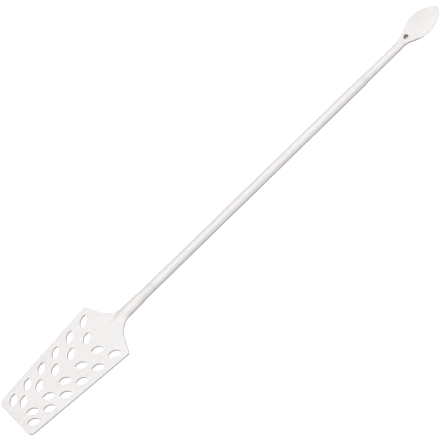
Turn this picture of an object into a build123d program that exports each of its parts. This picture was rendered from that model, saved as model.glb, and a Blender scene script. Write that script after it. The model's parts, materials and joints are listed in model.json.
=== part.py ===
from build123d import *
import math
import os

# A long white stirring paddle: a perforated flat blade, a slim round shaft and a leaf-shaped grip with a
# hanging hole.  Three mouldings are drawn together by one steel core rod, which screws into a brass insert
# in the blade's neck and another in the grip's neck.  A seal ring keeps each joint tight.
#
# Frame: the paddle lies flat.  X runs along it, from the blade's tip at -X to the leaf's tip at +X.
# Y runs across the blade and Z is up.  The origin is midway along its length, on its centre line, at the
# height of its lowest line.  A "station" is a distance from the blade's tip.  Sizes are in millimetres.

# ---------------------------------------------------------------- driving dimensions
overall_length = 600.0

# blade plate: a trapezoid that widens away from the tip
blade_thickness = 4.0
blade_tip_half_width = 26.5
blade_shoulder_half_width = 37.4
blade_shoulder_station = 131.0
blade_tip_corner_radius = 6.5
blade_shoulder_corner_radius = 3.0
blade_rim_radius = 1.1

# sweep of the plate's edge from the shoulder into the neck
sweep_start_station = 138.9
sweep_start_half_width = 20.0
sweep_end_station = 161.0
sweep_end_half_width = 5.5
stub_length = 15.0
stub_half_width = 4.5

# perforations: leaf-shaped holes in rows on both sides of the centre line, given as (station, offset)
hole_length = 13.6
hole_width = 7.3
hole_end_radius = 0.5
hole_end_trim = 0.115
hole_rim_radius = 0.5
hole_tilt = 35.0
outer_row_count = 6
outer_row_start = (13.0, 17.0)
outer_row_end = (119.7, 25.7)
inner_row_count = 5
inner_row_start = (19.5, 7.8)
inner_row_end = (110.0, 9.0)

# round neck of the blade moulding: it swells out of the plate, then narrows to a straight collar
neck_fade_station = 141.0
neck_fade_radius = 2.0
neck_fade_slope = 0.5
neck_swell_station = 151.0
neck_swell_radius = 4.4
neck_full_station = 163.0
neck_radius = 5.75
neck_taper_station = 173.0
collar_radius = 5.45
collar_start_station = 184.0
blade_joint_station = 195.0

# shaft sleeve: a long tapered tube with a spigot at each end
sleeve_blade_end_radius = 5.4
sleeve_grip_end_radius = 5.25
spigot_length = 4.0
lip_radius = 0.35

# grip moulding: a slim neck, a thick root with the hanging hole, then a thin leaf.  The top of the root and
# the leaf is flat, and their underside slopes up, so the leaf lies a little above the paddle's axis.
grip_joint_station = 494.0
grip_neck_radius = 4.75
grip_waist_radius = 4.65
grip_waist_station = 534.0
neck_nose_length = 18.0
root_start_station = 537.0
root_bend_radius = 20.0
root_flare_station = 556.0
root_flare_radius = 16.0
root_top_height = 3.9
root_bottom_height = -3.9
land_start_station = 551.0
land_end_station = 561.0
land_bottom_height = -1.3
flank_angle = 26.0
leaf_back_radius = 26.0
leaf_widest_station = 575.2
leaf_half_width = 13.8
leaf_tip_radius = 6.0
leaf_start_station = 570.0
leaf_bottom_height = -0.3
leaf_rim_radius = 1.6
hanging_hole_station = 555.6
hanging_hole_radius = 2.5
hanging_hole_rim = 0.4

# core rod, its threads and the inserts
rod_radius = 3.0
grip_thread_radius = 2.5
thread_pitch = 1.0
thread_depth = 0.5
thread_turns = 11
insert_length = 12.0
blade_insert_radius = 4.0
grip_insert_radius = 3.5
insert_groove_depth = 0.35
insert_groove_length = 3.0

# seal rings: each one just fills the space between the rod, the socket and the end of the spigot
blade_seal_thickness = 1.1
grip_seal_thickness = 0.9

# tolerances for picking edges and corners, and the distance by which cutting shapes overrun
match_gap = 0.01
parallel_cosine = 0.99
overrun = 2.0

# ---------------------------------------------------------------- derived places
axis_height = neck_radius
half_thickness = blade_thickness / 2
blade_socket_radius = rod_radius + blade_seal_thickness
grip_socket_radius = rod_radius + grip_seal_thickness
blade_socket_floor = blade_joint_station - spigot_length - blade_seal_thickness
grip_socket_floor = grip_joint_station + spigot_length + grip_seal_thickness
blade_thread_start = blade_socket_floor - thread_turns * thread_pitch
grip_thread_end = grip_socket_floor + thread_turns * thread_pitch


def placed(shape):
    """Moves a shape from (station, across, above the axis) into the paddle's frame."""
    return Pos(-overall_length / 2, 0, axis_height) * shape


def turned(points):
    """Solid of revolution about the paddle's axis through (station, radius) points."""
    outline = Polyline(*points, close=True)
    return revolve(Plane.XZ * make_face(outline), Axis.X, 360)


def bar(start, end, radius):
    """Plain round bar along the axis."""
    return turned([(start, 0), (start, radius), (end, radius), (end, 0)])


def mirrored_face(half):
    """Face between a chain of edges above the X axis and its mirror image below."""
    other = mirror(half, about=Plane.XZ)
    return make_face(half.edges() + other.edges())


# ---------------------------------------------------------------- blade
def blade_outline():
    """Plan of the plate, from the tip to a stub inside the neck."""
    shoulder_corner = (blade_shoulder_station, blade_shoulder_half_width)
    sweep_start = (sweep_start_station, sweep_start_half_width)
    sweep_end = (sweep_end_station, sweep_end_half_width)
    stub_end = (sweep_end_station + stub_length, stub_half_width)
    tip = Line((0, 0), (0, blade_tip_half_width))
    side = Line((0, blade_tip_half_width), shoulder_corner)
    shoulder = Line(shoulder_corner, sweep_start)
    sweep = TangentArc(sweep_start, sweep_end, tangent=shoulder % 1)
    stub = Line(sweep_end, stub_end)
    end = Line(stub_end, (stub_end[0], 0))
    face = mirrored_face(Curve() + [tip, side, shoulder, sweep, stub, end])
    tip_corners = [v for v in face.vertices() if abs(v.X) < match_gap]
    face = fillet(tip_corners, blade_tip_corner_radius)
    shoulder_corners = [v for v in face.vertices() if abs(abs(v.Y) - blade_shoulder_half_width) < match_gap]
    return fillet(shoulder_corners, blade_shoulder_corner_radius)


def leaf_hole():
    """One perforation: two arcs that meet at rounded ends."""
    reach = hole_length / 2 + hole_end_trim
    upper = ThreePointArc((-reach, 0), (0, hole_width / 2), (reach, 0))
    lower = ThreePointArc((reach, 0), (0, -hole_width / 2), (-reach, 0))
    face = make_face([upper, lower])
    return fillet(face.vertices(), hole_end_radius)


def hole_rows():
    """All perforations.  Each one turns its neck-side end away from the centre line."""
    rows = [
        (outer_row_start, outer_row_end, outer_row_count),
        (inner_row_start, inner_row_end, inner_row_count),
    ]
    holes = []
    for start, end, count in rows:
        for index in range(count):
            share = index / (count - 1)
            station = start[0] + share * (end[0] - start[0])
            offset = start[1] + share * (end[1] - start[1])
            for side in (1, -1):
                holes.append(Pos(station, side * offset) * Rot(0, 0, side * hole_tilt) * leaf_hole())
    return holes


def blade_plate():
    """Perforated plate with rounded rims."""
    plate = extrude(blade_outline() - hole_rows(), half_thickness, both=True).solids()[0]
    faces = plate.faces().sort_by(Axis.Z)
    broad_faces = (faces[0], faces[-1])
    hole_rims = []
    for face in broad_faces:
        for wire in face.inner_wires():
            hole_rims += wire.edges()
    plate = plate.fillet(hole_rim_radius, hole_rims)
    faces = plate.faces().sort_by(Axis.Z)
    stub_end = sweep_end_station + stub_length
    rims = []
    for face in (faces[0], faces[-1]):
        rims += [edge for edge in face.outer_wire().edges() if edge.center().X < stub_end - match_gap]
    return plate.fillet(blade_rim_radius, rims)


def blade_neck():
    """Round neck with a collar, fading to nothing inside the plate."""
    fade = (neck_fade_station, neck_fade_radius)
    full = (neck_full_station, neck_radius)
    slopes = [(1, neck_fade_slope), (1, 0)]
    swell = Spline([fade, (neck_swell_station, neck_swell_radius), full], tangents=slopes)
    straight = Polyline(
        full,
        (neck_taper_station, neck_radius),
        (collar_start_station, collar_radius),
        (blade_joint_station, collar_radius),
        (blade_joint_station, 0),
        (neck_fade_station, 0),
        fade,
    )
    solid = revolve(Plane.XZ * make_face([swell] + list(straight.edges())), Axis.X, 360).solids()[0]
    lip = [e for e in solid.edges() if abs(e.center().X - blade_joint_station) < match_gap]
    return solid.fillet(lip_radius, lip)


def paddle_blade():
    """Blade moulding, hollowed for the insert, the seal ring, the spigot and the rod."""
    socket = bar(blade_socket_floor, blade_joint_station, blade_socket_radius)
    solid = blade_plate() + blade_neck() - socket - blade_insert_blank() - core_rod()
    return solid.solids()[0]


# ---------------------------------------------------------------- shaft
def shaft_sleeve():
    """Tapered tube round the core rod, with a spigot for each socket."""
    tube = turned([
        (blade_joint_station, 0),
        (blade_joint_station, sleeve_blade_end_radius),
        (grip_joint_station, sleeve_grip_end_radius),
        (grip_joint_station, 0),
    ]).solids()[0]
    tube = tube.fillet(lip_radius, [e for e in tube.edges() if e.geom_type == GeomType.CIRCLE])
    blade_spigot = bar(blade_joint_station - spigot_length, blade_joint_station, blade_socket_radius)
    grip_spigot = bar(grip_joint_station, grip_joint_station + spigot_length, grip_socket_radius)
    return (tube + blade_spigot + grip_spigot - core_rod()).solids()[0]


# ---------------------------------------------------------------- grip
def leaf_outline():
    """Plan of the root and the leaf, from a blunt start inside the neck to the rounded tip."""
    angle = math.radians(flank_angle)
    flank_end = (
        leaf_widest_station - leaf_back_radius * math.sin(angle),
        leaf_half_width - leaf_back_radius * (1 - math.cos(angle)),
    )
    bend_corner = flank_end[0] - (flank_end[1] - grip_waist_radius) / math.tan(angle)
    bend_reach = root_bend_radius * math.tan(angle / 2)
    bend_start = (bend_corner - bend_reach, grip_waist_radius)
    flank_start = (
        bend_corner + bend_reach * math.cos(angle),
        grip_waist_radius + bend_reach * math.sin(angle),
    )
    widest = (leaf_widest_station, leaf_half_width)
    tip_reach = overall_length - leaf_tip_radius - leaf_widest_station
    tip_inset = leaf_half_width - leaf_tip_radius
    front_radius = (tip_reach**2 + leaf_half_width**2 - leaf_tip_radius**2) / (2 * tip_inset)
    point_reach = math.sqrt(leaf_half_width * (2 * front_radius - leaf_half_width))
    point = (leaf_widest_station + point_reach, 0)
    start = Line((root_start_station, 0), (root_start_station, grip_waist_radius))
    straight = Line((root_start_station, grip_waist_radius), bend_start)
    bend = TangentArc(bend_start, flank_start, tangent=(1, 0))
    flank = Line(flank_start, flank_end)
    back = TangentArc(flank_end, widest, tangent=flank % 1)
    front = TangentArc(widest, point, tangent=(1, 0))
    face = mirrored_face(Curve() + [start, straight, bend, flank, back, front])
    return fillet([face.vertices().sort_by(Axis.X)[-1]], leaf_tip_radius)


def leaf_side_profile():
    """Side view of the root and the leaf: a flat top, and an underside that slopes up to the thin leaf."""
    reach = overall_length + overrun
    land_start = (land_start_station, land_bottom_height)
    land_end = (land_end_station, land_bottom_height)
    leaf_start = (leaf_start_station, leaf_bottom_height)
    outline = [
        Spline([(root_start_station, root_bottom_height), land_start], tangents=[(1, 0), (1, 0)]),
        Line(land_start, land_end),
        Spline([land_end, leaf_start], tangents=[(1, 0), (1, 0)]),
        Line(leaf_start, (reach, leaf_bottom_height)),
        Line((reach, leaf_bottom_height), (reach, root_top_height)),
        Line((reach, root_top_height), (root_start_station, root_top_height)),
        Line((root_start_station, root_top_height), (root_start_station, root_bottom_height)),
    ]
    return make_face(outline)


def leaf_body():
    """Root and leaf in one piece, with rounded rims."""
    tall = extrude(leaf_outline(), 2 * root_top_height, both=True)
    wide = Pos(0, 2 * leaf_half_width, 0) * Rot(90, 0, 0) * extrude(leaf_side_profile(), 4 * leaf_half_width)
    solid = (tall & wide).solids()[0]
    rims = []
    for edge in solid.edges():
        direction = edge.tangent_at(0.5)
        upright = abs(direction.Z) > parallel_cosine
        across = abs(direction.Y) > parallel_cosine
        if not upright and not across:
            rims.append(edge)
    solid = solid.fillet(leaf_rim_radius, rims)
    flare = turned([
        (root_start_station, 0),
        (root_start_station, grip_waist_radius),
        (root_flare_station, root_flare_radius),
        (overall_length + overrun, root_flare_radius),
        (overall_length + overrun, 0),
    ])
    return (solid & flare).solids()[0]


def leaf_grip():
    """Grip moulding with its hanging hole, socket and insert pocket."""
    nose_end = (grip_waist_station + neck_nose_length, 0)
    straight = Polyline(
        nose_end,
        (grip_joint_station, 0),
        (grip_joint_station, grip_neck_radius),
        (grip_waist_station, grip_waist_radius),
    )
    nose = EllipticalCenterArc((grip_waist_station, 0), neck_nose_length, grip_waist_radius, arc_size=90)
    neck = revolve(Plane.XZ * make_face(list(straight.edges()) + [nose]), Axis.X, 360).solids()[0]
    lip = [e for e in neck.edges() if abs(e.center().X - grip_joint_station) < match_gap]
    neck = neck.fillet(lip_radius, lip)
    hole = Pos(hanging_hole_station, 0, 0) * Cylinder(hanging_hole_radius, 4 * root_top_height)
    solid = (leaf_body() + neck - hole).solids()[0]
    mouths = [
        edge for edge in solid.edges()
        if edge.geom_type == GeomType.CIRCLE and abs(edge.radius - hanging_hole_radius) < match_gap
    ]
    solid = solid.fillet(hanging_hole_rim, mouths)
    socket = bar(grip_joint_station, grip_socket_floor, grip_socket_radius)
    return (solid - socket - grip_insert_blank() - core_rod()).solids()[0]


# ---------------------------------------------------------------- core rod and inserts
def thread_points(start, radius):
    """Ridges of a thread as (station, radius) points, from root to root."""
    points = []
    for turn in range(thread_turns):
        foot = start + turn * thread_pitch
        points.append((foot, radius - thread_depth))
        points.append((foot + thread_pitch / 2, radius))
    points.append((start + thread_turns * thread_pitch, radius - thread_depth))
    return points


def core_rod():
    """Steel rod, threaded at both ends."""
    blade_thread = thread_points(blade_thread_start, rod_radius)
    grip_thread = thread_points(grip_socket_floor, grip_thread_radius)
    shank = [(blade_socket_floor, rod_radius), (grip_socket_floor, rod_radius)]
    return turned([(blade_thread_start, 0)] + blade_thread + shank + grip_thread + [(grip_thread_end, 0)])


def insert_blank(start, radius):
    """Six-sided insert with a groove round its middle that the moulding grips."""
    prism = Plane.YZ * RegularPolygon(radius, 6)
    body = Pos(start, 0, 0) * extrude(prism, insert_length)
    groove_start = start + (insert_length - insert_groove_length) / 2
    groove_radius = radius * math.cos(math.pi / 6) - insert_groove_depth
    groove_end = groove_start + insert_groove_length
    ring = bar(groove_start, groove_end, radius + overrun) - bar(groove_start, groove_end, groove_radius)
    return body - ring


def blade_insert_blank():
    """Outer form of the blade's insert, flush with the floor of the blade's socket."""
    return insert_blank(blade_socket_floor - insert_length, blade_insert_radius)


def grip_insert_blank():
    """Outer form of the grip's insert, flush with the floor of the grip's socket."""
    return insert_blank(grip_socket_floor, grip_insert_radius)


def threaded_insert(blank, thread_radius):
    """Insert with a through bore, cut to the rod's thread."""
    box = blank.bounding_box()
    bore = bar(box.min.X, box.max.X, thread_radius - thread_depth)
    return (blank - bore - core_rod()).solids()[0]


# ---------------------------------------------------------------- seal rings
def seal_ring(floor_station, thickness, direction):
    """Ring round the rod, lying against the floor of a socket."""
    ring = Torus(rod_radius + thickness / 2, thickness / 2)
    return Pos(floor_station + direction * thickness / 2, 0, 0) * Rot(0, 90, 0) * ring


# ---------------------------------------------------------------- output
parts = {
    "paddle_blade": paddle_blade(),
    "shaft_sleeve": shaft_sleeve(),
    "leaf_grip": leaf_grip(),
    "core_rod": core_rod(),
    "blade_insert": threaded_insert(blade_insert_blank(), rod_radius),
    "grip_insert": threaded_insert(grip_insert_blank(), grip_thread_radius),
    "blade_seal_ring": seal_ring(blade_socket_floor, blade_seal_thickness, 1),
    "grip_seal_ring": seal_ring(grip_socket_floor, grip_seal_thickness, -1),
}

os.makedirs("parts", exist_ok=True)
for name, shape in parts.items():
    export_step(placed(shape), "parts/" + name + ".step")
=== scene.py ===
import json
import math

import bpy
import numpy as np
from mathutils import Matrix, Vector


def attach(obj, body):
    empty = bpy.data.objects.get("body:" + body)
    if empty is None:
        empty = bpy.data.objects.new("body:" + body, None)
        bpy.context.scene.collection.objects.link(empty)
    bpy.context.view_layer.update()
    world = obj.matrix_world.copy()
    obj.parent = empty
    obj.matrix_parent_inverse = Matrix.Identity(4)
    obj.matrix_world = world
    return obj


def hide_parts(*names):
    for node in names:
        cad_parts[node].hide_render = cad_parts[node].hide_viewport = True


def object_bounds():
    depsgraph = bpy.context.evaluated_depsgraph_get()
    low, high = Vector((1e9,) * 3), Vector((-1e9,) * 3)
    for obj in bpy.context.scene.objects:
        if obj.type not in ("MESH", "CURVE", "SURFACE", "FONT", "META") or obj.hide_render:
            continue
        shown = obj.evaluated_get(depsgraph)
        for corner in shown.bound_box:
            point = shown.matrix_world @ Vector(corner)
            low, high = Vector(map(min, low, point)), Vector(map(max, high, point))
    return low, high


# A white plastic stirring paddle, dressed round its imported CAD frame.  The shaft sleeve and the inner
# pieces are the CAD nodes themselves.  The blade and the grip are rebuilt here as smooth mouldings:
# each one is a distance field, in millimetres, that is turned into an even mesh of quads.

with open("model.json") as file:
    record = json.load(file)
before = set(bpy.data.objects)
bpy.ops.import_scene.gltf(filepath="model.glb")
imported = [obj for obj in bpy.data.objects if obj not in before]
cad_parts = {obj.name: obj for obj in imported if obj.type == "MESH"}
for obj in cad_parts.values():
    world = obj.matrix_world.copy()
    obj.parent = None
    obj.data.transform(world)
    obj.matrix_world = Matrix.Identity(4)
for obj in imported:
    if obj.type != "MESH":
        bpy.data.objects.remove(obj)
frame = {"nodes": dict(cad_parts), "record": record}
cad_low, cad_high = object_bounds()

# the fields are drawn in millimetres: x from the blade's tip, y and z from the paddle's axis
MM = 0.001
AXIS_Z = (cad_high.z + cad_low.z) / 2
TIP_X = cad_low.x


# ---------------------------------------------------------------- distance helpers, in millimetres
def smoothstep(value, low, high):
    """0 below low, 1 above high, an easy curve between."""
    t = np.clip((value - low) / (high - low), 0.0, 1.0)
    return t * t * (3.0 - 2.0 * t)


def smooth_union(a, b, blend):
    """Union of two distance fields with a fillet about as wide as blend."""
    h = np.clip(0.5 + 0.5 * (b - a) / blend, 0.0, 1.0)
    return b * (1 - h) + a * h - blend * h * (1 - h)


def line_distance(x, y, start, end):
    """Distance to a straight stretch of outline."""
    dx, dy = end[0] - start[0], end[1] - start[1]
    t = np.clip(((x - start[0]) * dx + (y - start[1]) * dy) / (dx * dx + dy * dy), 0.0, 1.0)
    return np.hypot(x - start[0] - t * dx, y - start[1] - t * dy)


def arc_distance(x, y, centre, radius, start, end):
    """Distance to a round stretch of outline, less than half a turn long."""
    middle = ((start[0] + end[0]) / 2 - centre[0], (start[1] + end[1]) / 2 - centre[1])
    reach = math.hypot(*middle)
    middle = (middle[0] / reach, middle[1] / reach)
    px, py = x - centre[0], y - centre[1]
    out = np.hypot(px, py)
    inside = px * middle[0] + py * middle[1] >= out * reach / radius
    ends = np.minimum(np.hypot(x - start[0], y - start[1]), np.hypot(x - end[0], y - end[1]))
    return np.where(inside, np.abs(out - radius), ends)


def corner_arc(before, corner, after, radius):
    """The arc that rounds a corner: its two ends and its centre."""
    corner = np.array(corner, float)
    back = np.array(before, float) - corner
    on = np.array(after, float) - corner
    back /= np.linalg.norm(back)
    on /= np.linalg.norm(on)
    half = math.acos(float(np.clip(back @ on, -1, 1))) / 2
    reach = radius / math.tan(half)
    bisector = (back + on) / np.linalg.norm(back + on)
    centre = corner + bisector * (radius / math.sin(half))
    return tuple(corner + back * reach), tuple(corner + on * reach), tuple(centre)


def tangent_arc(start, end, direction):
    """The arc that leaves start along a direction and reaches end: its centre and radius."""
    chord = np.array(end, float) - np.array(start, float)
    direction = np.array(direction, float)
    normal = np.array([-direction[1], direction[0]])
    radius = float(chord @ chord) / (2 * float(normal @ chord))
    centre = np.array(start, float) + normal * radius
    return tuple(centre), abs(radius)


def rounded_plate(outline, z, half_thickness, rim):
    """A flat plate of the given 2-D distance, with its rims rounded."""
    across = outline + rim
    up = np.abs(z) - half_thickness + rim
    outside = np.hypot(np.maximum(across, 0.0), np.maximum(up, 0.0))
    return outside + np.minimum(np.maximum(across, up), 0.0) - rim


def rounded_end_bar(x, around, radius, start, end, lip):
    """Round bar along the axis with its far end's edge rounded."""
    across = around - radius + lip
    forward = x - end + lip
    outside = np.hypot(np.maximum(across, 0.0), np.maximum(forward, 0.0))
    bar = outside + np.minimum(np.maximum(across, forward), 0.0) - lip
    return np.maximum(bar, start - x)


def six_sided(y, z, radius):
    """Distance to a hexagonal bar with a corner on the Y axis."""
    y, z = np.abs(y), np.abs(z)
    flat = radius * math.cos(math.pi / 6)
    return np.maximum(z, y * math.sin(math.pi / 3) + z * math.cos(math.pi / 3)) - flat


# ---------------------------------------------------------------- distance field to mesh
SLOPE_REACH = 0.02
LEAST_SLOPE = 0.2
SPREAD_SHARE = 0.5
MOVE_LIMIT = 0.5
SPREAD_ROUNDS = 2
PROJECTIONS = 3
TINY = 1e-9


def surface_mesh(name, field, low, high, step):
    """Even quad mesh of the zero surface of a distance field, by surface nets and then projection."""
    counts = [int(math.ceil((b - a) / step)) + 1 for a, b in zip(low, high)]
    axes = [low[i] + step * np.arange(counts[i]) for i in range(3)]
    grid = np.meshgrid(*axes, indexing="ij", sparse=True)
    value = field(*grid)
    inside = value < 0
    corners = [(i, j, k) for i in (0, 1) for j in (0, 1) for k in (0, 1)]

    def block(array, shift):
        i, j, k = shift
        return array[i:counts[0] - 1 + i, j:counts[1] - 1 + j, k:counts[2] - 1 + k]

    held = sum(block(inside, c).astype(np.int8) for c in corners)
    mixed = (held > 0) & (held < len(corners))
    index = np.full(mixed.shape, -1, np.int64)
    cells = np.argwhere(mixed)
    index[mixed] = np.arange(len(cells))
    total = np.zeros((len(cells), 3))
    crossings = np.zeros(len(cells))
    for a in corners:
        for axis in range(3):
            if a[axis]:
                continue
            b = tuple(1 if i == axis else a[i] for i in range(3))
            va = block(value, a)[mixed]
            vb = block(value, b)[mixed]
            cut = (va < 0) != (vb < 0)
            share = np.where(cut, va / np.where(cut, va - vb, 1.0), 0.0)
            point = np.tile(np.array(a, float), (len(cells), 1))
            point[:, axis] = share
            total += point * cut[:, None]
            crossings += cut
    points = np.array(low) + step * (cells + total / crossings[:, None])
    faces = []
    for axis in range(3):
        other = [i for i in range(3) if i != axis]
        here = [slice(0, counts[i]) for i in range(3)]
        there = list(here)
        here[axis] = slice(0, counts[axis] - 1)
        there[axis] = slice(1, counts[axis])
        a, b = inside[tuple(here)], inside[tuple(there)]
        edges = np.argwhere(a != b)
        edges = edges[(edges[:, other[0]] > 0) & (edges[:, other[1]] > 0)]
        flip = a[tuple(edges.T)]
        ring = []
        for du, dv in ((1, 1), (0, 1), (0, 0), (1, 0)):
            cell = edges.copy()
            cell[:, other[0]] -= du
            cell[:, other[1]] -= dv
            ring.append(index[tuple(cell.T)])
        quads = np.stack(ring, 1)
        swap = flip if axis != 1 else ~flip
        quads[~swap] = quads[~swap][:, ::-1]
        faces.append(quads)
    faces = np.concatenate(faces)
    points = settle(points, faces, field, step)
    mesh = bpy.data.meshes.new(name)
    mesh.vertices.add(len(points))
    placed = points * MM
    placed[:, 0] += TIP_X
    placed[:, 2] += AXIS_Z
    mesh.vertices.foreach_set("co", placed.astype(np.float32).ravel())
    mesh.loops.add(len(faces) * 4)
    mesh.loops.foreach_set("vertex_index", faces.ravel().astype(np.int32))
    mesh.polygons.add(len(faces))
    mesh.polygons.foreach_set("loop_start", np.arange(0, len(faces) * 4, 4, dtype=np.int32))
    mesh.update(calc_edges=True)
    mesh.validate()
    mesh.shade_smooth()
    piece = bpy.data.objects.new(name, mesh)
    bpy.context.scene.collection.objects.link(piece)
    return piece


def gradient(points, field):
    """Slope of the field at each point, by central differences."""
    slope = np.zeros_like(points)
    for axis in range(3):
        ahead, behind = points.copy(), points.copy()
        ahead[:, axis] += SLOPE_REACH
        behind[:, axis] -= SLOPE_REACH
        slope[:, axis] = (field(*ahead.T) - field(*behind.T)) / (2 * SLOPE_REACH)
    return slope


def project(points, field, step):
    """Brings each point onto the surface in a few short moves along the field's slope."""
    for _ in range(PROJECTIONS):
        slope = gradient(points, field)
        size = np.maximum((slope ** 2).sum(1), LEAST_SLOPE)
        move = slope * (field(*points.T) / size)[:, None]
        length = np.linalg.norm(move, axis=1)
        move *= np.minimum(1.0, MOVE_LIMIT * step / np.maximum(length, TINY))[:, None]
        points = points - move
    return points


def settle(points, faces, field, step):
    """Spreads the points evenly over the surface and brings each one onto it."""
    for _ in range(SPREAD_ROUNDS):
        total = np.zeros_like(points)
        count = np.zeros(len(points))
        for a, b in ((0, 1), (1, 2), (2, 3), (3, 0)):
            np.add.at(total, faces[:, a], points[faces[:, b]])
            np.add.at(count, faces[:, a], 1)
        neighbours = total / np.maximum(count, 1)[:, None]
        points = (1 - SPREAD_SHARE) * points + SPREAD_SHARE * neighbours
        points = project(points, field, step)
    return project(points, field, step)


# ---------------------------------------------------------------- blade
# places are (distance from the blade's tip, offset from the centre line)
# the shoulder is drawn a hair narrower than in the CAD, so that the mesh stays inside the CAD box
BLADE_THICKNESS = 4.0
TIP_HALF_WIDTH = 26.5
SHOULDER = (131.0, 37.39)
TIP_CORNER = 6.5
SHOULDER_CORNER = 3.0
SWEEP_START = (138.9, 20.0)
SWEEP_END = (161.0, 5.5)
STUB_END = (176.0, 4.5)
BLADE_RIM = 1.1
HOLE_RIM = 0.5


def blade_plan(x, y):
    """2-D distance to the blade's outline, negative inside."""
    y = np.abs(y)
    tip_corner = (0.0, TIP_HALF_WIDTH)
    tip_arc = corner_arc((0.0, 0.0), tip_corner, SHOULDER, TIP_CORNER)
    shoulder_arc = corner_arc(tip_corner, SHOULDER, SWEEP_START, SHOULDER_CORNER)
    fall = np.array(SWEEP_START) - np.array(SHOULDER)
    fall /= np.linalg.norm(fall)
    sweep_centre, sweep_radius = tangent_arc(SWEEP_START, SWEEP_END, fall)
    distance = line_distance(x, y, (0.0, 0.0), tip_arc[0])
    parts = (
        arc_distance(x, y, tip_arc[2], TIP_CORNER, tip_arc[0], tip_arc[1]),
        line_distance(x, y, tip_arc[1], shoulder_arc[0]),
        arc_distance(x, y, shoulder_arc[2], SHOULDER_CORNER, shoulder_arc[0], shoulder_arc[1]),
        line_distance(x, y, shoulder_arc[1], SWEEP_START),
        arc_distance(x, y, sweep_centre, sweep_radius, SWEEP_START, SWEEP_END),
        line_distance(x, y, SWEEP_END, STUB_END),
        line_distance(x, y, STUB_END, (STUB_END[0], 0.0)),
    )
    for part in parts:
        distance = np.minimum(distance, part)

    def under_arc(centre, radius, side):
        return centre[1] + side * np.sqrt(np.maximum(radius ** 2 - (x - centre[0]) ** 2, 0.0))

    def under_line(start, end):
        return start[1] + (x - start[0]) * (end[1] - start[1]) / (end[0] - start[0])

    width = np.where(
        x < tip_arc[1][0], under_arc(tip_arc[2], TIP_CORNER, 1),
        np.where(x < shoulder_arc[0][0], under_line(tip_arc[1], shoulder_arc[0]),
        np.where(x < shoulder_arc[1][0], under_arc(shoulder_arc[2], SHOULDER_CORNER, 1),
        np.where(x < SWEEP_START[0], under_line(shoulder_arc[1], SWEEP_START),
        np.where(x < SWEEP_END[0], under_arc(sweep_centre, sweep_radius, -1),
                 under_line(SWEEP_END, STUB_END))))))
    inside = (x > 0) & (x < STUB_END[0]) & (y < width)
    return np.where(inside, -distance, distance)


# rows of leaf-shaped holes: first hole, last hole, how many
HOLE_ROWS = (((13.0, 17.0), (119.7, 25.7), 6), ((19.5, 7.8), (110.0, 9.0), 5))
HOLE_LENGTH = 13.6
HOLE_WIDTH = 7.3
HOLE_TRIM = 0.115
HOLE_END = 0.5
HOLE_TILT = math.radians(35.0)
FAR_AWAY = 1000.0


def hole_distance(u, v):
    """2-D distance to one leaf-shaped hole, along and across it."""
    reach = HOLE_LENGTH / 2 + HOLE_TRIM
    radius = (reach ** 2 + (HOLE_WIDTH / 2) ** 2) / HOLE_WIDTH
    drop = radius - HOLE_WIDTH / 2
    inner = radius - HOLE_END
    end = math.sqrt(inner ** 2 - drop ** 2)
    u, v = np.abs(u), np.abs(v)
    near_end = (u - end) * drop > v * end
    return np.where(near_end, np.hypot(u - end, v), np.hypot(u, v + drop) - inner) - HOLE_END


def holes_plan(x, y):
    """2-D distance to the nearest hole.  Each one turns its neck-side end away from the centre line."""
    y = np.abs(y)
    nearest = np.full(np.broadcast(x, y).shape, FAR_AWAY)
    for first, last, count in HOLE_ROWS:
        for index in range(count):
            share = index / (count - 1)
            px = x - (first[0] + share * (last[0] - first[0]))
            py = y - (first[1] + share * (last[1] - first[1]))
            u = px * math.cos(HOLE_TILT) + py * math.sin(HOLE_TILT)
            v = py * math.cos(HOLE_TILT) - px * math.sin(HOLE_TILT)
            nearest = np.minimum(nearest, hole_distance(u, v))
    return nearest


# round neck, from where it fades into the plate to its joint, with the pockets inside it
NECK_FADE = (140.0, 1.5)
NECK_FULL = (163.0, 5.75)
NECK_TAPER, COLLAR_START, COLLAR_RADIUS = 173.0, 184.0, 5.45
BLADE_JOINT = 195.0
LIP = 0.35
NECK_BLEND = 3.0
SOCKET_FLOOR, SOCKET_RADIUS = 189.9, 4.1
INSERT_LENGTH, INSERT_RADIUS = 12.0, 4.0
POCKET_OVERLAP = 0.1


def neck_radius(x):
    """Radius of the blade's neck along the axis."""
    rise = np.clip((x - NECK_FADE[0]) / (NECK_FULL[0] - NECK_FADE[0]), 0.0, 1.0)
    swell = NECK_FADE[1] + (NECK_FULL[1] - NECK_FADE[1]) * np.sin(rise * math.pi / 2)
    return swell + (COLLAR_RADIUS - NECK_FULL[1]) * smoothstep(x, NECK_TAPER, COLLAR_START)


def blade_field(x, y, z):
    """Distance to the blade moulding."""
    outline = blade_plan(x, y)
    plate = rounded_plate(outline, z, BLADE_THICKNESS / 2, BLADE_RIM)
    around = np.hypot(y, z)
    neck = rounded_end_bar(x, around, neck_radius(x), NECK_FADE[0], BLADE_JOINT, LIP)
    body = smooth_union(plate, neck, NECK_BLEND)
    body = np.maximum(body, x - BLADE_JOINT)
    holes = rounded_plate(-holes_plan(x, y), z, BLADE_THICKNESS / 2, HOLE_RIM)
    near_holes = x < SHOULDER[0]
    body = np.where(near_holes, np.maximum(body, holes), body)
    socket = np.maximum(around - SOCKET_RADIUS, SOCKET_FLOOR - x)
    pocket = np.maximum(six_sided(y, z, INSERT_RADIUS), SOCKET_FLOOR - INSERT_LENGTH - x)
    pocket = np.maximum(pocket, x - SOCKET_FLOOR - POCKET_OVERLAP)
    return np.maximum(body, -np.minimum(socket, pocket))


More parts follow.
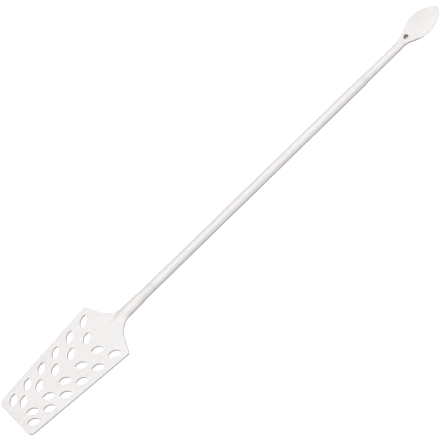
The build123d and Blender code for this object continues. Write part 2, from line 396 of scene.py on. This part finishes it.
# ---------------------------------------------------------------- grip
# the leaf's tip is a hair short of the CAD's, so that the mesh stays inside the CAD box
GRIP_JOINT = 494.0
GRIP_NECK_RADIUS, GRIP_WAIST_RADIUS, GRIP_WAIST = 4.75, 4.65, 534.0
NOSE_LENGTH = 18.0
ROOT_START, ROOT_TOP, ROOT_BOTTOM = 537.0, 3.9, -3.9
LAND_START, LAND_END, LAND_BOTTOM = 551.0, 561.0, -1.3
ROOT_BLEND = 1.2
ROOT_BLEND_START, ROOT_BLEND_FULL = 0.05, 546.0
ROOT_RIM_START, ROOT_RIM = 3.3, 1.5
BEND_RADIUS = 20.0
FLANK_ANGLE = math.radians(26.0)
BACK_RADIUS = 26.0
WIDEST = (575.2, 13.8)
LEAF_TIP, TIP_RADIUS = 599.97, 6.0
LEAF_START, LEAF_RISE = 570.0, 1.8
CROWN_RADIUS = 60.0
EDGE_HALF = 0.85
EDGE_FLAT = 0.02
LEVEL_LEAD, LEVEL_TAIL, RIM_LEAD = 2.0, 3.0, 4.0
NECK_OVERRUN = 100.0
LEAST_PULL = 1e-6
HANGING_HOLE, HANGING_RADIUS, HANGING_RIM = 555.6, 2.5, 0.4
MOUTH_REACH = 3 * HANGING_RIM
GRIP_SOCKET_FLOOR, GRIP_SOCKET_RADIUS = 498.9, 3.9
GRIP_INSERT_RADIUS = 3.5


def leaf_plan(x, y):
    """2-D distance to the outline of the root and the leaf, negative inside."""
    y = np.abs(y)
    flank_end = (
        WIDEST[0] - BACK_RADIUS * math.sin(FLANK_ANGLE),
        WIDEST[1] - BACK_RADIUS * (1 - math.cos(FLANK_ANGLE)),
    )
    bend_corner = flank_end[0] - (flank_end[1] - GRIP_WAIST_RADIUS) / math.tan(FLANK_ANGLE)
    bend_reach = BEND_RADIUS * math.tan(FLANK_ANGLE / 2)
    bend_start = (bend_corner - bend_reach, GRIP_WAIST_RADIUS)
    flank_start = (
        bend_corner + bend_reach * math.cos(FLANK_ANGLE),
        GRIP_WAIST_RADIUS + bend_reach * math.sin(FLANK_ANGLE),
    )
    bend_centre = (bend_start[0], GRIP_WAIST_RADIUS + BEND_RADIUS)
    back_centre = (WIDEST[0], WIDEST[1] - BACK_RADIUS)
    tip_reach = LEAF_TIP - TIP_RADIUS - WIDEST[0]
    tip_inset = WIDEST[1] - TIP_RADIUS
    front_radius = (tip_reach ** 2 + WIDEST[1] ** 2 - TIP_RADIUS ** 2) / (2 * tip_inset)
    front_centre = (WIDEST[0], WIDEST[1] - front_radius)
    # the rounded tip is a small circle on the centre line that touches both front arcs
    tip_centre = (LEAF_TIP - TIP_RADIUS, 0.0)
    reach = np.array(tip_centre) - np.array(front_centre)
    touch = tuple(np.array(front_centre) + reach * front_radius / np.linalg.norm(reach))
    tip = (LEAF_TIP, 0.0)
    start_corner = (ROOT_START, GRIP_WAIST_RADIUS)
    parts = (
        line_distance(x, y, (ROOT_START, 0.0), start_corner),
        line_distance(x, y, start_corner, bend_start),
        arc_distance(x, y, bend_centre, BEND_RADIUS, bend_start, flank_start),
        line_distance(x, y, flank_start, flank_end),
        arc_distance(x, y, back_centre, BACK_RADIUS, flank_end, WIDEST),
        arc_distance(x, y, front_centre, front_radius, WIDEST, touch),
        arc_distance(x, y, tip_centre, TIP_RADIUS, touch, tip),
    )
    distance = parts[0]
    for part in parts[1:]:
        distance = np.minimum(distance, part)

    def arch(centre, radius, side):
        return centre[1] + side * np.sqrt(np.maximum(radius ** 2 - (x - centre[0]) ** 2, 0.0))

    flank = flank_start[1] + (x - flank_start[0]) * math.tan(FLANK_ANGLE)
    width = np.where(
        x < bend_start[0], GRIP_WAIST_RADIUS,
        np.where(x < flank_start[0], arch(bend_centre, BEND_RADIUS, -1),
        np.where(x < flank_end[0], flank,
        np.where(x < WIDEST[0], arch(back_centre, BACK_RADIUS, 1),
        np.where(x < touch[0], arch(front_centre, front_radius, 1), arch(tip_centre, TIP_RADIUS, 1))))))
    inside = (x > ROOT_START) & (x < tip[0]) & (y < width)
    return np.where(inside, -distance, distance), np.where((x > ROOT_START) & (x < tip[0]), width, 0.0)


def leaf_levels(x, y, width):
    """Mid height and half thickness over the plan: a thick root, then a thin leaf crowned like a lens."""
    crown = EDGE_HALF + np.maximum(width ** 2 - y ** 2, 0.0) / (2 * CROWN_RADIUS)
    bottom = ROOT_BOTTOM + (LAND_BOTTOM - ROOT_BOTTOM) * smoothstep(x, ROOT_START, LAND_START)
    fall = smoothstep(x, LAND_END - LEVEL_LEAD, LEAF_START + LEVEL_TAIL)
    top = ROOT_TOP + (LEAF_RISE + crown - ROOT_TOP) * fall
    bottom = bottom + (LEAF_RISE - crown - bottom) * fall
    return (top + bottom) / 2, (top - bottom) / 2


def grip_field(x, y, z):
    """Distance to the grip moulding."""
    fall = smoothstep(x, LAND_END - RIM_LEAD, LEAF_START)
    rim = ROOT_RIM_START + (ROOT_RIM - ROOT_RIM_START) * smoothstep(x, ROOT_START, LAND_START)
    rim = rim + (EDGE_HALF - EDGE_FLAT - rim) * fall
    plan, width = leaf_plan(x, y)
    middle, half = leaf_levels(x, y, width)
    leaf = rounded_plate(plan, z - middle, half, rim)
    around = np.hypot(y, z)
    taper = np.clip((x - GRIP_JOINT) / (GRIP_WAIST - GRIP_JOINT), 0.0, 1.0)
    radius = GRIP_NECK_RADIUS + (GRIP_WAIST_RADIUS - GRIP_NECK_RADIUS) * taper
    # the bar is mirrored about the joint, so that its rounded end faces the shaft
    neck = rounded_end_bar(2 * GRIP_JOINT - x, around, radius, GRIP_JOINT - NECK_OVERRUN, GRIP_JOINT, LIP)
    # past its waist the neck ends in a long egg-shaped nose that sinks into the root
    ahead = (x - GRIP_WAIST) / NOSE_LENGTH
    level = np.sqrt(ahead ** 2 + (around / GRIP_WAIST_RADIUS) ** 2)
    pull = np.sqrt((ahead / NOSE_LENGTH) ** 2 + (around / GRIP_WAIST_RADIUS ** 2) ** 2)
    nose = level * (level - 1) / np.maximum(pull, LEAST_PULL)
    neck = np.where(x > GRIP_WAIST, nose, neck)
    # the fillet grows from nothing at the root's start, where both forms share their sides
    growth = smoothstep(x, ROOT_START, ROOT_BLEND_FULL)
    body = smooth_union(leaf, neck, ROOT_BLEND_START + (ROOT_BLEND - ROOT_BLEND_START) * growth)
    body = np.maximum(body, GRIP_JOINT - x)
    bore = HANGING_RADIUS - np.hypot(x - HANGING_HOLE, y)
    mouth = rounded_plate(bore, z - middle, half, HANGING_RIM)
    body = np.where(bore > -MOUTH_REACH, np.maximum(body, mouth), body)
    socket = np.maximum(around - GRIP_SOCKET_RADIUS, x - GRIP_SOCKET_FLOOR)
    pocket = np.maximum(six_sided(y, z, GRIP_INSERT_RADIUS), x - GRIP_SOCKET_FLOOR - INSERT_LENGTH)
    pocket = np.maximum(pocket, GRIP_SOCKET_FLOOR - POCKET_OVERLAP - x)
    return np.maximum(body, -np.minimum(socket, pocket))


# mesh width, and the box of space that each field is sampled in
BLADE_STEP = 0.5
GRIP_STEP = 0.3
BLADE_SPACE = ((-1.5, -38.5, -6.3), (196.5, 38.5, 6.3))
GRIP_SPACE = ((492.5, -14.5, -6.0), (601.5, 14.5, 6.0))

blade = surface_mesh("paddle_blade_moulding", blade_field, *BLADE_SPACE, BLADE_STEP)
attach(blade, "root")
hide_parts("paddle_blade")

grip = surface_mesh("leaf_grip_moulding", grip_field, *GRIP_SPACE, GRIP_STEP)
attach(grip, "root")
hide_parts("leaf_grip")


# ---------------------------------------------------------------- materials
class Shade:
    """A node material in the making, with short calls for the nodes that it is built from."""

    def __init__(self, name):
        self.material = bpy.data.materials.new(name)
        self.material.use_nodes = True
        self.nodes = self.material.node_tree.nodes
        self.links = self.material.node_tree.links
        self.shader = self.nodes["Principled BSDF"]
        self.place = self.nodes.new("ShaderNodeTexCoord").outputs["Object"]
        self.height = None

    def set(self, **values):
        for name, value in values.items():
            self.shader.inputs[name.replace("_", " ")].default_value = value

    def stretched(self, scale):
        """Object coordinates, stretched so that a texture runs in streaks."""
        mapping = self.nodes.new("ShaderNodeMapping")
        mapping.inputs["Scale"].default_value = scale
        self.links.new(self.place, mapping.inputs["Vector"])
        return mapping.outputs["Vector"]

    def noise(self, scale, detail=3.0, roughness=0.5, place=None):
        node = self.nodes.new("ShaderNodeTexNoise")
        node.inputs["Scale"].default_value = scale
        node.inputs["Detail"].default_value = detail
        node.inputs["Roughness"].default_value = roughness
        self.links.new(place or self.place, node.inputs["Vector"])
        return node.outputs["Fac"]

    def span(self, value, low, high, new_low, new_high):
        """Maps a value from one span to another and holds it there."""
        node = self.nodes.new("ShaderNodeMapRange")
        for name, number in zip(("From Min", "From Max", "To Min", "To Max"), (low, high, new_low, new_high)):
            node.inputs[name].default_value = number
        self.links.new(value, node.inputs["Value"])
        return node.outputs["Result"]

    def sum(self, a, b, kind="ADD"):
        node = self.nodes.new("ShaderNodeMath")
        node.operation = kind
        self.links.new(a, node.inputs[0])
        self.links.new(b, node.inputs[1])
        return node.outputs[0]

    def ramp(self, value, *stops):
        """Colour ramp through (position, colour) stops."""
        node = self.nodes.new("ShaderNodeValToRGB")
        ramp = node.color_ramp
        while len(ramp.elements) < len(stops):
            ramp.elements.new(0.5)
        for element, (position, colour) in zip(ramp.elements, stops):
            element.position = position
            element.color = (*colour, 1)
        self.links.new(value, node.inputs["Fac"])
        return node.outputs["Color"]

    def blend(self, factor, under, over):
        """Lays a plain colour over another one, as strongly as the factor says."""
        node = self.nodes.new("ShaderNodeMix")
        node.data_type = "RGBA"
        self.links.new(factor, node.inputs[0])
        self.links.new(under, node.inputs[6])
        node.inputs[7].default_value = (*over, 1)
        return node.outputs[2]

    def split(self):
        """The three object coordinates, one by one."""
        node = self.nodes.new("ShaderNodeSeparateXYZ")
        self.links.new(self.place, node.inputs[0])
        return node.outputs

    def band(self, value, centre, half_width):
        """1 where a value equals a centre, falling to 0 at half_width on either side of it."""
        offset = self.nodes.new("ShaderNodeMath")
        offset.operation = "SUBTRACT"
        self.links.new(value, offset.inputs[0])
        offset.inputs[1].default_value = centre
        size = self.nodes.new("ShaderNodeMath")
        size.operation = "ABSOLUTE"
        self.links.new(offset.outputs[0], size.inputs[0])
        return self.span(size.outputs[0], 0.0, half_width, 1.0, 0.0)

    def axis_distance(self, x, y):
        """Distance from the upright line through (x, y)."""
        flat = self.nodes.new("ShaderNodeCombineXYZ")
        along = self.split()
        self.links.new(along["X"], flat.inputs["X"])
        self.links.new(along["Y"], flat.inputs["Y"])
        apart = self.nodes.new("ShaderNodeVectorMath")
        apart.operation = "DISTANCE"
        self.links.new(flat.outputs[0], apart.inputs[0])
        apart.inputs[1].default_value = (x, y, 0.0)
        return apart.outputs["Value"]

    def bump(self, height, depth):
        """Adds one more layer of relief, in metres.  A negative depth is cut into the surface."""
        node = self.nodes.new("ShaderNodeBump")
        node.inputs["Distance"].default_value = depth
        self.links.new(height, node.inputs["Height"])
        if self.height is not None:
            self.links.new(self.height, node.inputs["Normal"])
        self.height = node.outputs["Normal"]

    def finish(self, colour, roughness):
        self.links.new(colour, self.shader.inputs["Base Color"])
        self.links.new(roughness, self.shader.inputs["Roughness"])
        self.links.new(self.height, self.shader.inputs["Normal"])
        return self.material


# painted shade on the wall of the hanging hole: where it fades out, how strong it is, and its colour
HOLE_WALL_SHADE_RADIUS = (0.0026, 0.00295)
HOLE_WALL_SHADE_LEVEL = 0.62
HOLE_WALL_SHADE_COLOUR = (0.23, 0.215, 0.2)
SCUFF_COLOUR = (0.70, 0.672, 0.655)
SPECK_COLOUR = (0.62, 0.58, 0.54)
SPECK_SCALE = 150.0
SEAM_HALF_WIDTH = 0.00016


def white_plastic():
    """Satin white polypropylene: cloudy tone, flow streaks, moulded grain, hairline scuffs, parting line, and
    painted shade on the wall of the hanging hole.
    """
    shade = Shade("white_plastic")
    shade.set(IOR=1.49, Specular_IOR_Level=0.42, Subsurface_Weight=0.35, Subsurface_Scale=0.003)
    shade.set(Subsurface_Radius=(1.0, 0.85, 0.8))
    clouds = shade.noise(scale=14.0, detail=4.0, roughness=0.55)
    streaks = shade.noise(scale=1.0, detail=5.0, roughness=0.6, place=shade.stretched((22.0, 260.0, 260.0)))
    tone = shade.sum(shade.span(clouds, 0.3, 0.7, 0.0, 0.6), shade.span(streaks, 0.3, 0.7, 0.0, 0.4))
    colour = shade.ramp(
        tone, (0.0, (0.80, 0.765, 0.752)), (0.45, (0.872, 0.847, 0.838)), (1.0, (0.91, 0.893, 0.885)),
    )
    # hairline scuffs from stirring, mostly along the paddle, that show a little duller and greyer
    hairs = shade.noise(scale=1.0, detail=8.0, roughness=0.75, place=shade.stretched((90.0, 1900.0, 1900.0)))
    patches = shade.span(shade.noise(scale=28.0, detail=2.0), 0.48, 0.66, 0.0, 1.0)
    scuffs = shade.sum(shade.span(hairs, 0.6, 0.72, 0.0, 1.0), patches, "MULTIPLY")
    colour = shade.blend(shade.span(scuffs, 0.0, 1.0, 0.0, 0.55), colour, SCUFF_COLOUR)
    # fine dust specks caught in the plastic
    specks = shade.nodes.new("ShaderNodeTexVoronoi")
    specks.inputs["Scale"].default_value = SPECK_SCALE
    shade.links.new(shade.place, specks.inputs["Vector"])
    dots = shade.span(specks.outputs["Distance"], 0.03, 0.05, 0.45, 0.0)
    colour = shade.blend(dots, colour, SPECK_COLOUR)
    # painted shade darkens the wall of the hanging hole
    from_hole = shade.axis_distance(TIP_X + HANGING_HOLE * MM, 0.0)
    wall_shade = shade.span(from_hole, *HOLE_WALL_SHADE_RADIUS, HOLE_WALL_SHADE_LEVEL, 0.0)
    colour = shade.blend(wall_shade, colour, HOLE_WALL_SHADE_COLOUR)
    # the mould's parting line runs round the paddle at mid height
    seam = shade.band(shade.split()["Z"], AXIS_Z, SEAM_HALF_WIDTH)
    grain = shade.noise(scale=2600.0, detail=2.0)
    peel = shade.noise(scale=420.0, detail=2.0)
    sink = shade.noise(scale=38.0, detail=1.0)
    shade.bump(sink, depth=0.00045)
    shade.bump(peel, depth=0.00006)
    shade.bump(grain, depth=0.00002)
    shade.bump(scuffs, depth=-0.00002)
    shade.bump(seam, depth=0.00008)
    roughness = shade.sum(shade.span(clouds, 0.3, 0.7, 0.5, 0.6), shade.span(peel, 0.3, 0.7, -0.04, 0.05))
    roughness = shade.sum(roughness, shade.span(scuffs, 0.0, 1.0, 0.0, 0.16))
    return shade.finish(colour, roughness)


def rod_steel():
    """Bright drawn steel bar: lengthwise drawing lines, a thin oily tone and small dark pits."""
    shade = Shade("rod_steel")
    shade.set(Metallic=1.0)
    lines = shade.noise(scale=1.0, detail=6.0, roughness=0.7, place=shade.stretched((25.0, 4200.0, 4200.0)))
    clouds = shade.noise(scale=60.0, detail=4.0)
    colour = shade.ramp(
        shade.sum(lines, shade.span(clouds, 0.3, 0.7, -0.2, 0.2)),
        (0.2, (0.42, 0.42, 0.43)), (0.55, (0.6, 0.6, 0.61)), (0.85, (0.7, 0.7, 0.7)),
    )
    pits = shade.span(shade.noise(scale=900.0, detail=3.0), 0.7, 0.76, 0.0, 1.0)
    colour = shade.blend(pits, colour, (0.16, 0.14, 0.12))
    shade.bump(lines, depth=0.00001)
    shade.bump(pits, depth=-0.00003)
    roughness = shade.sum(shade.span(lines, 0.3, 0.7, 0.22, 0.36), shade.span(pits, 0.0, 1.0, 0.0, 0.3))
    return shade.finish(colour, roughness)


def insert_brass():
    """Turned brass: fine rings from the tool across the axis, and patches of brown tarnish."""
    shade = Shade("insert_brass")
    shade.set(Metallic=1.0)
    rings = shade.noise(scale=1.0, detail=4.0, roughness=0.7, place=shade.stretched((5200.0, 40.0, 40.0)))
    tarnish = shade.noise(scale=240.0, detail=5.0, roughness=0.6)
    colour = shade.ramp(
        tarnish, (0.3, (0.8, 0.6, 0.28)), (0.55, (0.72, 0.5, 0.22)), (0.75, (0.42, 0.27, 0.12)),
    )
    shade.bump(rings, depth=0.00002)
    roughness = shade.sum(shade.span(rings, 0.3, 0.7, 0.22, 0.34), shade.span(tarnish, 0.5, 0.75, 0.0, 0.25))
    return shade.finish(colour, roughness)


def seal_rubber():
    """Black moulded rubber with a pale bloom and a fine matt grain."""
    shade = Shade("seal_rubber")
    bloom = shade.noise(scale=420.0, detail=5.0, roughness=0.6)
    grain = shade.noise(scale=5200.0, detail=2.0)
    colour = shade.ramp(
        bloom, (0.35, (0.018, 0.018, 0.02)), (0.6, (0.03, 0.03, 0.032)), (0.8, (0.07, 0.07, 0.07)),
    )
    shade.bump(grain, depth=0.00001)
    roughness = shade.sum(shade.span(bloom, 0.3, 0.7, 0.5, 0.7), shade.span(grain, 0.3, 0.7, -0.05, 0.05))
    return shade.finish(colour, roughness)


materials = {
    "white_plastic": white_plastic(),
    "rod_steel": rod_steel(),
    "insert_brass": insert_brass(),
    "seal_rubber": seal_rubber(),
}
for piece in (blade, grip):
    piece.data.materials.append(materials["white_plastic"])
for part in frame["record"]["subparts"]:
    for slot in frame["nodes"][part["node"]].material_slots:
        slot.material = materials[part["material_slot"]]

# ---------------------------------------------------------------- stage, light and camera, in metres
LAMP_TILT = math.radians(12.0)
LAMP_LEAN_X = 0.06
LAMP_DISTANCE = 8.0
LAMP_SIZE = 3.6
LAMP_LEVEL = 0.785
SURROUND_SPAN = (-0.6, 0.6)
SURROUND_LOW = 0.43
SURROUND_HIGH = 0.27
FLOOR_Z = 0.0
FLOOR_REACH = 6.0
FLOOR_GLOW = 1.0
FLOOR_TONE = (0.9, 0.9, 0.9, 1)
FLOOR_ROUGHNESS = 0.9
SHADE_RADIUS = (0.0024, 0.0034)
# how far up the root, as a share of its height, the middle of the hanging hole lies
SHADE_LEVEL = 0.75
WHITE = (1, 1, 1, 1)

TILT = math.radians(28.0)
LONG_AXIS_ANGLE = math.radians(44.25)
PICTURE_WIDTH = 0.446247
CAMERA_DISTANCE = 10.0
CAMERA_RANGE = 50.0
SENSOR = 36.0
# how far the paddle's middle lies from the picture's middle, to the right and up
MIDDLE_OFFSET = (0.006643, 0.006237)

# the camera looks down on the paddle, which runs up to the right
back = Vector((0, -math.sin(TILT), math.cos(TILT)))
along = Vector((1, 0, 0))
across = back.cross(along)
right = along * math.cos(LONG_AXIS_ANGLE) - across * math.sin(LONG_AXIS_ANGLE)
up = along * math.sin(LONG_AXIS_ANGLE) + across * math.cos(LONG_AXIS_ANGLE)
middle = Vector(((cad_low.x + cad_high.x) / 2, 0, AXIS_Z))
target = middle - right * MIDDLE_OFFSET[0] - up * MIDDLE_OFFSET[1]
camera_data = bpy.data.cameras.new("camera")
camera_data.sensor_width = SENSOR
camera_data.lens = SENSOR * CAMERA_DISTANCE / PICTURE_WIDTH
camera_data.clip_end = CAMERA_RANGE
camera = bpy.data.objects.new("camera", camera_data)
bpy.context.scene.collection.objects.link(camera)
place = target + back * CAMERA_DISTANCE
turn = Matrix((right, up, back)).transposed().to_4x4()
camera.matrix_world = Matrix.Translation(place) @ turn
bpy.context.scene.camera = camera

# soft light: a large lamp nearly overhead, a dim surround, and a floor that glows so that it stays pale
world = bpy.data.worlds.new("studio")
bpy.context.scene.world = world
world.use_nodes = True
nodes, links = world.node_tree.nodes, world.node_tree.links
where = nodes.new("ShaderNodeTexCoord")
split = nodes.new("ShaderNodeSeparateXYZ")
fade = nodes.new("ShaderNodeMapRange")
fade.inputs["From Min"].default_value = SURROUND_SPAN[0]
fade.inputs["From Max"].default_value = SURROUND_SPAN[1]
fade.inputs["To Min"].default_value = SURROUND_LOW
fade.inputs["To Max"].default_value = SURROUND_HIGH
links.new(where.outputs["Generated"], split.inputs[0])
links.new(split.outputs["Z"], fade.inputs["Value"])
links.new(fade.outputs["Result"], nodes["Background"].inputs["Strength"])
nodes["Background"].inputs["Color"].default_value = WHITE

floor_mesh = bpy.data.meshes.new("floor")
corners = [(x * FLOOR_REACH, y * FLOOR_REACH, FLOOR_Z) for x, y in ((-1, -1), (1, -1), (1, 1), (-1, 1))]
floor_mesh.from_pydata(corners, [], [(0, 1, 2, 3)])
floor = bpy.data.objects.new("floor", floor_mesh)
bpy.context.scene.collection.objects.link(floor)
floor.visible_diffuse = False
floor.visible_glossy = False
floor_material = bpy.data.materials.new("floor")
floor_material.use_nodes = True
floor_shader = floor_material.node_tree.nodes["Principled BSDF"]
floor_shader.inputs["Base Color"].default_value = FLOOR_TONE
floor_shader.inputs["Roughness"].default_value = FLOOR_ROUGHNESS
floor_shader.inputs["Emission Color"].default_value = WHITE
# the glow stops in a small spot that the camera sees through the hanging hole, so that it looks shaded
nodes, links = floor_material.node_tree.nodes, floor_material.node_tree.links
where = nodes.new("ShaderNodeTexCoord")
apart = nodes.new("ShaderNodeVectorMath")
apart.operation = "DISTANCE"
apart.inputs[1].default_value = (
    TIP_X + HANGING_HOLE * MM, (AXIS_Z + ROOT_TOP * MM) * math.tan(TILT) * SHADE_LEVEL, FLOOR_Z,
)
glow = nodes.new("ShaderNodeMapRange")
glow.inputs["From Min"].default_value = SHADE_RADIUS[0]
glow.inputs["From Max"].default_value = SHADE_RADIUS[1]
glow.inputs["To Min"].default_value = 0.0
glow.inputs["To Max"].default_value = FLOOR_GLOW
links.new(where.outputs["Object"], apart.inputs[0])
links.new(apart.outputs["Value"], glow.inputs["Value"])
links.new(glow.outputs["Result"], floor_shader.inputs["Emission Strength"])
floor_mesh.materials.append(floor_material)

lamp_data = bpy.data.lights.new("key", "AREA")
lamp_data.shape = "DISK"
lamp_data.size = LAMP_SIZE
lamp_data.energy = LAMP_LEVEL * math.pi ** 2 * LAMP_DISTANCE ** 2
lamp = bpy.data.objects.new("key", lamp_data)
bpy.context.scene.collection.objects.link(lamp)
lamp_way = Vector((LAMP_LEAN_X, -math.sin(LAMP_TILT), math.cos(LAMP_TILT))).normalized()
lamp.location = lamp_way * LAMP_DISTANCE
lamp.rotation_euler = lamp_way.to_track_quat("Z", "Y").to_euler()

bpy.context.scene.view_settings.view_transform = "Standard"
